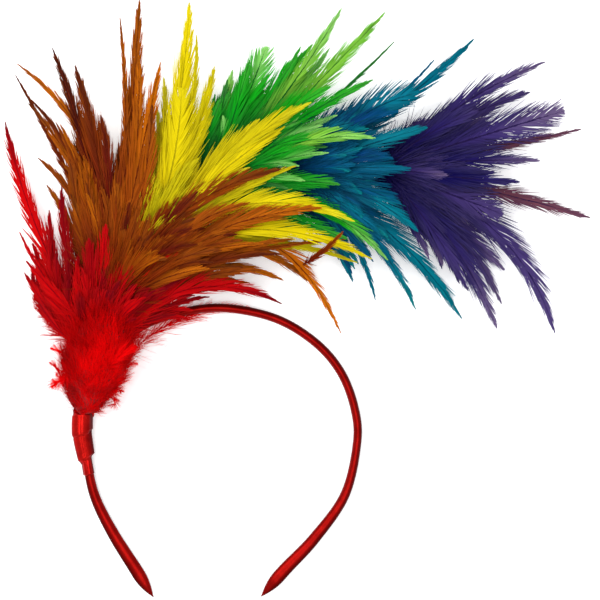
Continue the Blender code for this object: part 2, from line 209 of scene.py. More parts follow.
def skin(name, rings, lengths):
    """A closed tube through rings of points in millimetres. Its UV map is in metres along, turns around."""
    around = len(rings[0])
    points = [(point * MM + PHOTO_MIDDLE)[:] for ring in rings for point in ring]
    faces = []
    corners = []
    for i in range(len(rings) - 1):
        for k in range(around):
            j = (k + 1) % around
            faces.append((i * around + k, (i + 1) * around + k, (i + 1) * around + j, i * around + j))
            low, high = lengths[i] * MM, lengths[i + 1] * MM
            here, onward = k / around, (k + 1) / around
            corners += [(low, here), (high, here), (high, onward), (low, onward)]
    for i, turn in ((0, 1), (len(rings) - 1, -1)):
        cap = [i * around + k for k in range(around)][::turn]
        faces.append(tuple(cap))
        corners += [(lengths[i] * MM, 0.0)] * around
    mesh = bpy.data.meshes.new(name)
    mesh.from_pydata(points, [], faces)
    layer = mesh.uv_layers.new(name=WEAVE_MAP)
    layer.uv.foreach_set("vector", np.array(corners, dtype=np.float32).ravel())
    mesh.shade_smooth()
    return new_object(name, mesh)


def put(tree, kind, wires=None, **settings):
    """Adds a node and sets it up. Of its inputs, a socket is wired in and a value is set."""
    node = tree.nodes.new(kind)
    for name, value in settings.items():
        setattr(node, name, value)
    for key, value in (wires or {}).items():
        if isinstance(value, bpy.types.NodeSocket):
            tree.links.new(value, node.inputs[key])
        else:
            node.inputs[key].default_value = value
    return node


def calc(tree, operation, *values):
    """A Math node's result."""
    return put(tree, "ShaderNodeMath", dict(enumerate(values)), operation=operation).outputs[0]


def product(tree, a, b):
    return calc(tree, "MULTIPLY", a, b)


def vector_calc(tree, operation, *values):
    """A Vector Math node's result."""
    return put(tree, "ShaderNodeVectorMath", dict(enumerate(values)), operation=operation).outputs[0]


def blend_colours(tree, share, low, high):
    """The colour at a share of the way from low to high."""
    return put(tree, "ShaderNodeMix", {0: share, 6: low, 7: high}, data_type="RGBA").outputs[2]


def sockets(tree, way, **kinds):
    """Gives a node tree its named inputs or outputs."""
    for name, kind in kinds.items():
        tree.interface.new_socket(name.replace("_", " "), in_out=way, socket_type="NodeSocket" + kind)


def combined(tree, x, y, z=0.0):
    """A vector from its three numbers."""
    return put(tree, "ShaderNodeCombineXYZ", {0: x, 1: y, 2: z}).outputs[0]


def separated(tree, vector):
    """The three numbers of a vector."""
    return put(tree, "ShaderNodeSeparateXYZ", {0: vector}).outputs


def noise(tree, place, scale, detail):
    """A noise texture's two outputs, its number and its colour."""
    return put(tree, "ShaderNodeTexNoise", {"Vector": place, "Scale": scale, "Detail": detail}).outputs


def ranged(tree, value, low, high, to_low, to_high, **settings):
    """The value carried from the range low to high over to another one, and held at its ends."""
    wires = {0: value, 1: low, 2: high, 3: to_low, 4: to_high}
    return put(tree, "ShaderNodeMapRange", wires, **settings).outputs[0]


def satin_group():
    """Satin: a grain of threads and creases, a painted highlight along its top, painted shade on its sides
    and creases.
    """
    group = bpy.data.node_groups.new("satin weave", "ShaderNodeTree")
    sockets(group, "INPUT", Lit_Colour="Color", Shade_Colour="Color", Thread_Size="Float",
            Crease_Size="Float", Shine_Turn="Float")
    sockets(group, "OUTPUT", Colour="Color", Height="Float")
    given = put(group, "NodeGroupInput").outputs
    place = put(group, "ShaderNodeTexCoord").outputs["Object"]
    grain, crease = [
        noise(group, vector_calc(group, "DIVIDE", place, combined(group, size, size, size)), 1.0, detail)[0]
        for size, detail in ((given["Thread Size"], GRAIN_DETAIL), (given["Crease Size"], CREASE_DETAIL))]
    # Painted shade: the colour darkens in the creases, where the relief is low.
    smooth = ranged(group, crease, *CREASE_RANGE, CREASE_SHADE, 1.0)
    around = separated(group, put(group, "ShaderNodeUVMap", uv_map=WEAVE_MAP).outputs[0])[1]
    # Painted highlight: lit colour on a line at the shine's turn, shade colour as painted shade on the sides.
    turned = product(group, calc(group, "SUBTRACT", around, given["Shine Turn"]), 2 * math.pi)
    upper = ranged(group, calc(group, "COSINE", turned), *PAINTED_SHINE_RANGE, 0.0, 1.0,
                   interpolation_type="SMOOTHSTEP")
    share = product(group, upper, smooth)
    colour = blend_colours(group, share, given["Shade Colour"], given["Lit Colour"])
    height = calc(group, "MULTIPLY_ADD", grain, GRAIN_SHARE, crease)
    put(group, "NodeGroupOutput", {"Colour": colour, "Height": height})
    return group


SATIN = satin_group()


def group_inputs(columns):
    """What a group's inputs are given: the columns, in the same order. Colours get their alpha."""
    return {k: (*value, 1) if isinstance(value, tuple) else value for k, value in enumerate(columns)}


def satin_material(name, satin):
    """Satin: a painted highlight along the piece, a share of a turn from its top, painted shade on its sides,
    and gloss.
    """
    material, shader = plain_material(name, (*satin.lit, 1), satin.roughness)
    tree = material.node_tree
    weave = put(tree, "ShaderNodeGroup", group_inputs(satin[:-2]), node_tree=SATIN).outputs
    relief = put(tree, "ShaderNodeBump", {
        "Height": weave["Height"], "Strength": satin.bump, "Distance": WEAVE_HEIGHT})
    tree.links.new(weave["Colour"], shader.inputs["Base Color"])
    tree.links.new(relief.outputs[0], shader.inputs["Normal"])
    shader.inputs["Metallic"].default_value = SATIN_METALLIC
    shader.inputs["Specular Tint"].default_value = SATIN_TINT
    shader.inputs["Specular IOR Level"].default_value = SATIN_SPECULAR
    return material


line = BandLine()
band_rings = []
band_lengths = [line.length * k / BAND_STATIONS for k in range(BAND_STATIONS + 1)]
for distance in band_lengths:
    point, along = line.at(distance)
    across, depth = line.size(distance)
    centre = point + Vector((0, 0, line.lift(distance) + depth / 2))
    wave = PUCKER_HEIGHT * math.sin(distance * PUCKER_RATE + 2 * math.sin(distance * PUCKER_DRIFT))
    ring = []
    for k in range(BAND_AROUND):
        angle = 2 * math.pi * k / BAND_AROUND
        pucker = wave * math.cos(angle) ** 2
        out = left_of(along) * math.sin(angle) * (across / 2 + pucker)
        ring.append(centre + out + Vector((0, 0, math.cos(angle) * (depth / 2 + pucker / 2))))
    band_rings.append(ring)
band_satin = skin("band_satin", band_rings, band_lengths)
band_satin.data.materials.append(satin_material("band_satin", BAND_SATIN))
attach(band_satin, "root")
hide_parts("headband")


# Ribbon binding: narrow red satin ribbon wound tightly round the left leg and the plume's quills, and
# glued. Its turns slope and overlap, and the upper ones stand out further because the quills are under them.


def table(kind, *rows):
    """Rows of numbers under the column names of their kind."""
    return tuple(kind(*row) for row in rows)


BindingTurn = namedtuple("BindingTurn", "along across depth left")
BINDING_TURNS = table(
    BindingTurn,
    (0.00, 5.3, 7.4, 0.1),
    (0.26, 5.5, 7.6, 0.2),
    (0.29, 7.4, 8.3, 0.1),
    (0.50, 8.3, 8.8, 0.5),
    (0.66, 8.8, 9.2, 0.8),
    (0.70, 9.8, 9.4, 0.8),
    (0.97, 10.0, 9.6, 0.9),
    (1.00, 9.4, 9.1, 0.8),
)
RIBBON_STATIONS, RIBBON_AROUND = 150, 96
RIBBON_UNDER_DOWN = 2.8
RIBBON_PITCH, RIBBON_STEP = 11.7, 0.36
RIBBON_FIRST_EDGE, RIBBON_EDGE_SHARE = 18.5, 0.05
RIBBON_LEVEL, RIBBON_SLOPE = 0.10, 0.045
RIBBON_FOLDS = ((0.20, 3, 2.1), (0.07, 7, 1.3))
RIBBON_INSET, RIBBON_FLOOR = 0.3, 0.02
RIBBON_END_SHARE, RIBBON_END_CLOSING = 0.02, 0.225
# The ribbon's lit and shade colours are a painted highlight and painted shade as well.
RIBBON_SATIN = Satin(
    lit=(0.46, 0.008, 0.006), shade=(0.075, 0.0, 0.001), thread=0.00025, crease=0.004, shine_turn=0.03,
    bump=0.3, roughness=0.24)


def row_between(rows, along):
    """The row at a share of the way along a table whose first column is that share."""
    for low, high in zip(rows, rows[1:]):
        if along <= high[0]:
            part = (along - low[0]) / (high[0] - low[0])
            return [a + (b - a) * part for a, b in zip(low, high)]
    return list(rows[-1])


ribbon_rings = []
ribbon_length = BINDING_LENGTH + RIBBON_UNDER_DOWN
ribbon_lengths = [ribbon_length * k / RIBBON_STATIONS for k in range(RIBBON_STATIONS + 1)]
for distance in ribbon_lengths:
    share = distance / ribbon_length
    close = 1 - RIBBON_END_CLOSING * smoothstep(1 - min(share, 1 - share) / RIBBON_END_SHARE)
    point, along = line.at(BINDING_START + distance)
    ring = []
    for k in range(RIBBON_AROUND):
        angle = 2 * math.pi * k / RIBBON_AROUND
        _, across, depth, left = row_between(BINDING_TURNS, max(share + RIBBON_SLOPE * math.sin(angle), 0.0))
        centre = point + left_of(along) * left + Vector((0, 0, depth / 2))
        wound = angle / (2 * math.pi) - RIBBON_LEVEL * math.sin(angle)
        turn = (distance - RIBBON_FIRST_EDGE) / RIBBON_PITCH + wound
        lap = (turn % 1.0) * RIBBON_STEP
        edge = smoothstep((turn % 1.0) / RIBBON_EDGE_SHARE)
        fold = 0.0
        for size, count, shift in RIBBON_FOLDS:
            fold += size * math.sin(count * angle + shift * math.floor(turn))
        out = (RIBBON_STEP - lap) * edge - RIBBON_INSET + fold
        spot = left_of(along) * math.sin(angle) * (across / 2 + out) * close
        spot.z = math.cos(angle) * (depth / 2 + out) * close
        spot = centre + spot
        spot.z = max(spot.z, RIBBON_FLOOR)
        ring.append(spot)
    ribbon_rings.append(ring)
ribbon_satin = skin("ribbon_satin", ribbon_rings, ribbon_lengths)
ribbon_satin.data.materials.append(satin_material("ribbon_satin", RIBBON_SATIN))
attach(ribbon_satin, "root")
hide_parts("ribbon_binding")


# Marabou: red turkey down bound round the plume's foot, over the band, with its ends under the ribbon.
# Each fibre is a soft barb that lifts off the foot and leans towards the plume. Small tufts stand out of
# its sides.

STEM_ROUTE = (
    (-98.3, -48.8, 5.5), (-94.0, -34.0, 13.5), (-90.1, -21.1, 17.0), (-85.8, -1.0, 18.5), (-78.8, 10.8, 18.0),
    (-63.6, 27.8, 18.0), (-35.0, 51.6, 17.0), (6.7, 57.5, 16.0), (45.0, 59.4, 15.0),
)
FootSection = namedtuple("FootSection", "place across depth")
MARABOU_FOOT = table(
    FootSection,
    (-0.20, 5.0, 4.4),
    (0.02, 6.3, 5.2),
    (0.28, 7.9, 6.6),
    (0.64, 10.6, 9.2),
    (1.04, 12.8, 11.2),
    (1.48, 13.4, 12.2),
    (1.98, 13.0, 11.8),
)
FOOT_AROUND, FOOT_FLOOR = 48, 0.6
FOOT_LOBES = ((0.07, 5, 5), (0.05, 9, -8))
FOOT_STATION_LENGTH, STEM_STEP = 10, 0.05
DOWN_RED = (0.66, 0.0, 0.001)
# The core under the down is a darker red: painted shade for the depth of the down.
DOWN_CORE_SHADE, DOWN_DEEP_ROUGHNESS = (0.30, 0.0, 0.001), 0.9
BARB_CUTS, BARB_DROOP, BARB_TAPER = 3, -0.07, 0.80
BARB_FLOOR = 0.0002
BAKE_MAP = "OFBake"
MAP_MARGIN, MAP_ROW_MARGIN, MAP_BARB_WIDTH = 0.02, 0.1, 0.006
TINTS = 12
LAST_MIXED_TINT = 8
QUILL_ACROSS = 0.045
TIP_ON_SECOND, TIP_ON_ALL = 1.5, 0.15
# Streaks of tone along the barbs, with painted glints in the lighter ones.
STREAKS_ALONG, STREAKS_ROW_SHIFT, STREAKS_DETAIL, STREAKS_GAIN = 70.0, 7.3, 3.0, 3.0
FEATHER_SPECULAR = 0.03
TUFTS_PER_METRE, TUFT_PULL = 170.0, 2.4
PATCHES_PER_METRE, PATCH_RANGE, PATCH_SHARE, TINT_SCATTER = 62.0, (0.38, 0.62), 0.7, 0.29
DOWN_SCATTER, DOWN_CURL = 0.6, 0.25
DOWN_SEEDS = {"spread": 5, "ruffle": 8, "along": 11, "tint": 12, "length": 14, "facing": 15}
DOWN_GROWTH = {
    "Fibres_Per_Square_Metre": 4.2e6, "Shortest": 0.003, "Longest": 0.009, "Fibre_Width": 0.00018,
    "Lean": 1.5, "Ruffle": 0.5}
DOWN_LEANS_TO = 1.6


def stem_frame(place):
    """A point of the stem, with the directions along it, to its left and above it there."""
    point = route_point(STEM_ROUTE, place)
    ahead = route_point(STEM_ROUTE, min(place + STEM_STEP, len(STEM_ROUTE) - 1))
    behind = route_point(STEM_ROUTE, max(place - STEM_STEP, 0))
    along = (ahead - behind).normalized()
    left = left_of(along)
    return point, along, left, along.cross(left)


def foot_rings(sections):
    """Lumpy rings round the stem."""
    rings = []
    for section in sections:
        point, along, left, above = stem_frame(section.place)
        ring = []
        for k in range(FOOT_AROUND):
            angle = 2 * math.pi * k / FOOT_AROUND
            lobes = 1
            for size, count, shift in FOOT_LOBES:
                lobes += size * math.sin(count * angle + shift * section.place)
            spot = point + left * math.sin(angle) * section.across * lobes
            spot += above * math.cos(angle) * section.depth * lobes
            spot.z = max(spot.z, FOOT_FLOOR)
            ring.append(spot)
        rings.append(ring)
    return rings


def keep(tree, geometry, name, value, kind="FLOAT", domain="POINT"):
    """Stores a value on the geometry under a name."""
    wires = {"Geometry": geometry, "Name": name, "Value": value}
    return put(tree, "GeometryNodeStoreNamedAttribute", wires, data_type=kind, domain=domain).outputs[0]


def named(tree, name, kind="FLOAT"):
    """A value that the geometry holds under a name."""
    return put(tree, "GeometryNodeInputNamedAttribute", {"Name": name}, data_type=kind).outputs[0]


def chance(tree, low, high, seed):
    """A random number for each element."""
    return put(tree, "FunctionNodeRandomValue", {2: low, 3: high, "Seed": seed}, data_type="FLOAT").outputs[1]


def any_way(tree, size, seed):
    """A random vector for each element."""
    wires = {0: (-size, -size, -size), 1: (size, size, size), "Seed": seed}
    return put(tree, "FunctionNodeRandomValue", wires, data_type="FLOAT_VECTOR").outputs[0]


def times(tree, vector, factor):
    return put(tree, "ShaderNodeVectorMath", {0: vector, 3: factor}, operation="SCALE").outputs[0]


def plus(tree, *vectors):
    total = vectors[0]
    for vector in vectors[1:]:
        total = vector_calc(tree, "ADD", total, vector)
    return total


def barb_line(tree, curl):
    """One barb before it gets its width: a strip a metre long along X, bent to one side and drooping."""
    grid = put(tree, "GeometryNodeMeshGrid", {0: 1.0, 1: 1.0, 2: BARB_CUTS + 1, 3: 2}).outputs[0]
    place = separated(tree, put(tree, "GeometryNodeInputPosition").outputs[0])
    out = calc(tree, "ADD", place[0], 0.5)
    squared = product(tree, out, out)
    marked = keep(tree, keep(tree, grid, "across", out), "beside", place[1])
    beside, droop = product(tree, squared, curl), product(tree, squared, BARB_DROOP)
    spot = combined(tree, out, beside, droop)
    return put(tree, "GeometryNodeSetPosition", {0: marked, "Position": spot}).outputs[0]


def planted(tree, points, barb, way, facing, length, width):
    """The barb on every point, pointing one way and facing another, a length long and a width wide."""
    wide = times(tree, vector_calc(tree, "NORMALIZE", vector_calc(tree, "CROSS_PRODUCT", facing, way)), width)
    points = keep(tree, points, "wide", wide, kind="FLOAT_VECTOR")
    turned = put(tree, "FunctionNodeAxesToRotation", {0: way, 1: facing},
                 primary_axis="X", secondary_axis="Z")
    return put(tree, "GeometryNodeInstanceOnPoints", {
        0: points, "Instance": barb, "Rotation": turned.outputs[0], "Scale": length}).outputs[0]


def finish_barbs(tree, geometry, material):
    """Makes the barbs real and tapered, gives them the bake map and the material, and ends the tree."""
    real = put(tree, "GeometryNodeRealizeInstances", {0: geometry}).outputs[0]
    out = named(tree, "across")
    beside = named(tree, "beside")
    taper = calc(tree, "SUBTRACT", 1.0, product(tree, calc(tree, "POWER", out, 2.0), BARB_TAPER))
    aside = times(tree, named(tree, "wide", "FLOAT_VECTOR"), product(tree, beside, taper))
    moved = put(tree, "GeometryNodeSetPosition", {0: real, "Offset": aside}).outputs[0]
    place = separated(tree, put(tree, "GeometryNodeInputPosition").outputs[0])
    above = combined(tree, place[0], place[1], calc(tree, "MAXIMUM", place[2], BARB_FLOOR))
    moved = put(tree, "GeometryNodeSetPosition", {0: moved, "Position": above}).outputs[0]
    over = calc(tree, "MULTIPLY_ADD", named(tree, "along"), 1 - 2 * MAP_MARGIN, MAP_MARGIN)
    over = calc(tree, "MULTIPLY_ADD", beside, MAP_BARB_WIDTH, over)
    row = calc(tree, "FLOOR", product(tree, named(tree, "tint"), float(TINTS)))
    up = calc(tree, "ADD", row, calc(tree, "MULTIPLY_ADD", out, 1 - 2 * MAP_ROW_MARGIN, MAP_ROW_MARGIN))
    spot = combined(tree, over, calc(tree, "DIVIDE", up, float(TINTS)))
    mapped = keep(tree, moved, BAKE_MAP, spot, kind="FLOAT2", domain="CORNER")
    smooth = put(tree, "GeometryNodeSetShadeSmooth", {0: mapped}).outputs[0]
    dressed = put(tree, "GeometryNodeSetMaterial", {0: smooth, "Material": material}).outputs[0]
    put(tree, "NodeGroupOutput", {0: dressed})


def down_tree():
    """Down fibres over a surface: each leans from the surface's normal towards the plume, in tufts."""
    tree = bpy.data.node_groups.new("down fibres", "GeometryNodeTree")
    sockets(tree, "INPUT", Surface="Geometry", Fibres_Per_Square_Metre="Float", Shortest="Float",
            Longest="Float", Fibre_Width="Float", Lean="Float", Ruffle="Float", Towards="Vector",
            Dye="Material")
    sockets(tree, "OUTPUT", Down="Geometry")
    given = put(tree, "NodeGroupInput").outputs
    spread = put(tree, "GeometryNodeDistributePointsOnFaces", {
        0: given["Surface"], "Density": given["Fibres Per Square Metre"], "Seed": DOWN_SEEDS["spread"]})
    normal = spread.outputs["Normal"]
    place = put(tree, "GeometryNodeInputPosition").outputs[0]
    tufts = noise(tree, place, TUFTS_PER_METRE, 1.0)[1]
    tuft = times(tree, vector_calc(tree, "SUBTRACT", tufts, (0.5, 0.5, 0.5)), TUFT_PULL)
    loose = times(tree, any_way(tree, 1.0, DOWN_SEEDS["ruffle"]), given["Ruffle"])
    way = plus(tree, normal, times(tree, given["Towards"], given["Lean"]), loose, tuft)
    points = keep(tree, spread.outputs[0], "along", chance(tree, 0.0, 1.0, DOWN_SEEDS["along"]))
    patch = ranged(tree, noise(tree, place, PATCHES_PER_METRE, 1.0)[0], *PATCH_RANGE, 0.0, PATCH_SHARE)
    tint = calc(tree, "ADD", patch, chance(tree, 0.0, TINT_SCATTER, DOWN_SEEDS["tint"]))
    points = keep(tree, points, "tint", tint)
    length = chance(tree, given["Shortest"], given["Longest"], DOWN_SEEDS["length"])
    facing = plus(tree, normal, any_way(tree, DOWN_SCATTER, DOWN_SEEDS["facing"]))
    fibres = planted(tree, points, barb_line(tree, DOWN_CURL), way, facing, length, given["Fibre Width"])
    finish_barbs(tree, fibres, given["Dye"])
    return tree


def dye_group():
    """Dyed barbs: two dyes mixed feather by feather, a root colour darkened as painted shade, changing to tip
    and edge.
    It reads the barbs' own map, which runs along the feather and, in a row for each tint, out along the barb.
    The last three tints take the odd dye, and every second one has a marked tip."""
    group = bpy.data.node_groups.new("feather dye", "ShaderNodeTree")
    sockets(group, "INPUT", Dye_A="Color", Dye_B="Color", Odd="Color", Root="Color", Tip="Color",
            Edge="Color", Quill="Color", Root_End="Float", Tip_Start="Float", Edge_Share="Float",
            Streaks="Float")
    sockets(group, "OUTPUT", Colour="Color")
    given = put(group, "NodeGroupInput").outputs
    spot = separated(group, put(group, "ShaderNodeUVMap", uv_map=BAKE_MAP).outputs[0])
    along = ranged(group, spot[0], MAP_MARGIN, 1 - MAP_MARGIN, 0.0, 1.0)
    rows = product(group, spot[1], float(TINTS))
    row = calc(group, "FLOOR", rows)
    across = ranged(group, calc(group, "FRACT", rows), MAP_ROW_MARGIN, 1 - MAP_ROW_MARGIN, 0.0, 1.0)
    tint = ranged(group, row, 0.0, LAST_MIXED_TINT, 0.0, 1.0)
    dyed = blend_colours(group, tint, given["Dye A"], given["Dye B"])
    odd = calc(group, "GREATER_THAN", row, LAST_MIXED_TINT + 0.5)
    dyed = blend_colours(group, odd, dyed, given["Odd"])
    # Painted shade: the root colour darkens the barbs near the stem, where the feathers crowd.
    root = ranged(group, along, 0.0, given["Root End"], 1.0, 0.0, interpolation_type="SMOOTHSTEP")
    dyed = blend_colours(group, root, dyed, given["Root"])
    tip = ranged(group, along, given["Tip Start"], 1.0, 0.0, 1.0)
    second = calc(group, "FRACT", product(group, row, 0.5))
    tip = product(group, tip, calc(group, "MULTIPLY_ADD", second, TIP_ON_SECOND, TIP_ON_ALL))
    dyed = blend_colours(group, tip, dyed, given["Tip"])
    edge = product(group, product(group, across, across), given["Edge Share"])
    dyed = blend_colours(group, edge, dyed, given["Edge"])
    dyed = blend_colours(group, calc(group, "LESS_THAN", across, QUILL_ACROSS), dyed, given["Quill"])
    # Streaks along the barbs: their own tone, lighter and darker at random, and painted glints in the lighter
    # ones.
    stripe = combined(group, product(group, spot[0], STREAKS_ALONG), product(group, row, STREAKS_ROW_SHIFT))
    grain = noise(group, stripe, 1.0, STREAKS_DETAIL)[0]
    swing = product(group, given["Streaks"], calc(group, "SUBTRACT", grain, 0.5))
    light = calc(group, "MULTIPLY_ADD", swing, STREAKS_GAIN, 1.0)
    streaked = put(group, "ShaderNodeMix", {0: 1.0, 6: dyed, 7: combined(group, light, light, light)},
                   data_type="RGBA", blend_type="MULTIPLY")
    put(group, "NodeGroupOutput", {"Colour": streaked.outputs[2]})
    return group


DYE = dye_group()
Dyes = namedtuple("Dyes", "a b odd root tip edge quill root_end tip_start edge_share streaks roughness")


def dyed_material(name, dyes):
    """The material of feathers or down."""
    material, shader = plain_material(name, (*dyes.a, 1), dyes.roughness)
    dye = put(material.node_tree, "ShaderNodeGroup", group_inputs(dyes[:-1]), node_tree=DYE)
    material.node_tree.links.new(dye.outputs["Colour"], shader.inputs["Base Color"])
    shader.inputs["Specular IOR Level"].default_value = FEATHER_SPECULAR
    return material


def grown(obj, tree, **inputs):
    """Runs a geometry tree on an object and keeps the result as its plain mesh."""
    modifier = obj.modifiers.new(tree.name, "NODES")
    identifiers = {item.name: item.identifier for item in tree.interface.items_tree if item.in_out == "INPUT"}
    modifier.node_group = tree
    for name, value in inputs.items():
        modifier[identifiers[name.replace("_", " ")]] = value
    bpy.context.view_layer.update()
    mesh = bpy.data.meshes.new_from_object(obj.evaluated_get(bpy.context.evaluated_depsgraph_get()))
    obj.modifiers.remove(modifier)
    obj.data = mesh
    return obj


DOWN = down_tree()
DOWN_DYES = Dyes(
    a=(0.88, 0.0, 0.001), b=(0.46, 0.0, 0.001), odd=(0.36, 0.0, 0.001), root=DOWN_RED, tip=DOWN_RED,
    edge=(0.85, 0.004, 0.004), quill=(0.50, 0.0, 0.002), root_end=0.01, tip_start=1.0, edge_share=0.35,
    streaks=0.15, roughness=0.75)
down_dye = dyed_material("marabou_down", DOWN_DYES)


def downy_foot(name, sections, node):
    """A stretch of the foot: its core, and the fibres that grow on it."""
    core = skin(name + "_core", foot_rings(sections),
                [section.place * FOOT_STATION_LENGTH for section in sections])
    # Its darker red is painted shade under the fibres.
    core.data.materials.append(plain_material(name + "_core", (*DOWN_CORE_SHADE, 1), DOWN_DEEP_ROUGHNESS)[0])
    down = new_object(name + "_down", core.data.copy())
    towards = stem_frame(DOWN_LEANS_TO)[1]
    grown(down, DOWN, Towards=towards[:], Dye=down_dye, **DOWN_GROWTH)
    for piece in (core, down):
        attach(piece, "root")
        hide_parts(node)


downy_foot("marabou_foot", MARABOU_FOOT, "marabou_puff")


Blade = namedtuple("Blade", "bearing reach bow mid_z tip_z width tint")
Bunch = namedtuple("Bunch", "name fan bearing root_spread blades")
ROOT_SINK, ROOT_STAGGER, ROOT_TURN_DEG, ROOT_RISE, ROOT_RISE_SHARE = 4.0, 0.11, 42, 2.6, 0.4
QUILL_POINTS, QUILL_SIDES = 22, 4
QUILL_RADIUS, QUILL_RAISED, QUILL_STEP, QUILL_TAPER_FROM = 0.00019, 0.0003, 0.003, 1.12
QUILL_ROLL_DEG, ROLL_AT_ROOT, RUN_SCATTER = 22, 0.4, 0.05
LOW_FEATHER = 9.0
FILLER_BACK, FILLER_SPREAD = 9.0, 3.0
FILLER_DROP, FILLER_REACH, FILLER_WIDTH = (0.1, 1.0), (0.50, 0.90), (0.75, 1.0)
FILLER_BOW, FILLER_BOW_SCATTER = 0.7, 2
FILLER_LEAST_MID, FILLER_LEAST_TIP, FILLER_LEAST_WIDTH = 2.5, 1.5, 9
# Fillers take tints from this one on, towards the darker dye: painted shade for lying under the others.
FILLER_SHADE_FIRST_TINT = 2
WEB_ROOT_POWER, WEB_TIP_POWER = 0.45, 0.72
BLUNT_WIDTH, BLUNT_TIP_POWER, BLUNT_SPLAY_DEG = 19, 0.30, 17
BARB_HALVINGS = 16
BARB_SEEDS = {"stray": 20, "length": 30, "shake": 40, "facing": 50}
TINT_SHIFT, SIDE_SHIFT = 91.0, 7.7
DRIFT_SCALE, DRIFT_DETAIL, DRIFT_GAIN, DRIFT_RANGE = 0.6, 2.0, 3.0, (0.3, 0.7)
FLUFF_SLACK, FLUFF_WIDTH = 0.5, 0.5
STRAY_POWER, STRAY_GAIN = 3.0, 2.5
BARB_EXTRA, BARB_LENGTHS, BUNDLE_LENGTHS = 0.0008, (0.86, 1.05), (0.86, 1.08)
BUNDLE_LIFT, BUNDLE_TILT = 0.5, 0.5
BARB_SHAKE, BARB_SCATTER, BARB_CURL = 0.6, 0.25, -0.10


def quill_points(bunch, blade, number, back):
    """The points of one feather's quill, root first, in millimetres. Its root is sunk further by back."""
    heading = math.radians(bunch.bearing)
    stem = Vector((math.cos(heading), math.sin(heading), 0))
    fan = Vector(bunch.fan)
    rise = min(max((blade.mid_z - fan.z) * ROOT_RISE_SHARE, -ROOT_RISE), ROOT_RISE)
    turn = (blade.bearing - bunch.bearing + 180) % 360 - 180
    side = bunch.root_spread * min(max(turn / ROOT_TURN_DEG, -1), 1)
    root = fan - stem * (ROOT_SINK + ROOT_STAGGER * number + back)
    root += left_of(stem) * side + Vector((0, 0, rise))
    bearing = math.radians(blade.bearing)
    away = Vector((math.cos(bearing), math.sin(bearing), 0))
    tip = Vector((root.x, root.y, 0)) + away * blade.reach + Vector((0, 0, blade.tip_z))
    middle = (root + tip) / 2 + left_of(away) * blade.bow
    middle.z = blade.mid_z
    pull = 2 * middle - (root + tip) / 2
    points = []
    for k in range(QUILL_POINTS):
        along = k / (QUILL_POINTS - 1)
        rest = 1 - along
        points.append(root * rest**2 + pull * (2 * along * rest) + tip * along**2)
    return points


def web_share(along, width):
    """The half width of a feather's web at a share of its length, as a share of its greatest one.
    Broad feathers are blunt."""
    tip_power = BLUNT_TIP_POWER if width >= BLUNT_WIDTH else WEB_TIP_POWER
    peak = WEB_ROOT_POWER / (WEB_ROOT_POWER + tip_power)
    most = peak**WEB_ROOT_POWER * (1 - peak) ** tip_power
    return along**WEB_ROOT_POWER * (1 - along) ** tip_power / most


def barb_sweep(habit, blade, along):
    """The angle between the quill and a barb, which stands out more towards the tip of a broad feather."""
    at_tip = habit.sweep_tip + (BLUNT_SPLAY_DEG if blade.width >= BLUNT_WIDTH else 0)
    return math.radians(habit.sweep_root + (at_tip - habit.sweep_root) * along)


def barb_length(habit, blade, along, length):
    """How long a barb is that starts at a share of a feather's length and ends on the feather's outline."""
    sweep = barb_sweep(habit, blade, along)
    low, high = 0.0, length
    for halving in range(BARB_HALVINGS):
        middle = (low + high) / 2
        reached = along + middle * math.cos(sweep) / length
        half_web = blade.width / 2 * web_share(min(reached, 1.0), blade.width)
        if reached < 1 and middle * math.sin(sweep) < half_web:
            low = middle
        else:
            high = middle
    return low


def between(bunch, habit, rng):
    """Feathers that fill in under and between the upper ones, spread evenly over the fan, darker as painted
    shade.
    """
    if not habit.fillers:
        return []
    upper = [blade for blade in bunch.blades if blade.mid_z > LOW_FEATHER]
    upper.sort(key=lambda blade: blade.bearing)
    first = max(upper[0].bearing, habit.fill_from)
    step = (upper[-1].bearing - first) / habit.fillers
    fillers = []
    for k in range(habit.fillers):
        bearing = first + step * (k + rng.random())
        a, b = next((a, b) for a, b in zip(upper, upper[1:]) if bearing <= b.bearing)
        part = (bearing - a.bearing) / max(b.bearing - a.bearing, 1)
        row = Blade(*[low + (high - low) * part for low, high in zip(a, b)])
        drop = rng.uniform(*FILLER_DROP) * habit.drop
        fillers.append(row._replace(
            reach=min(a.reach, b.reach) * rng.uniform(*FILLER_REACH),
            bow=row.bow * FILLER_BOW + rng.uniform(-FILLER_BOW_SCATTER, FILLER_BOW_SCATTER),
            mid_z=max(row.mid_z - drop, FILLER_LEAST_MID), tip_z=max(row.tip_z - drop, FILLER_LEAST_TIP),
            width=rng.uniform(*FILLER_WIDTH) * max(min(a.width, b.width), FILLER_LEAST_WIDTH),
            tint=rng.randrange(FILLER_SHADE_FIRST_TINT, LAST_MIXED_TINT + 1)))
    return fillers


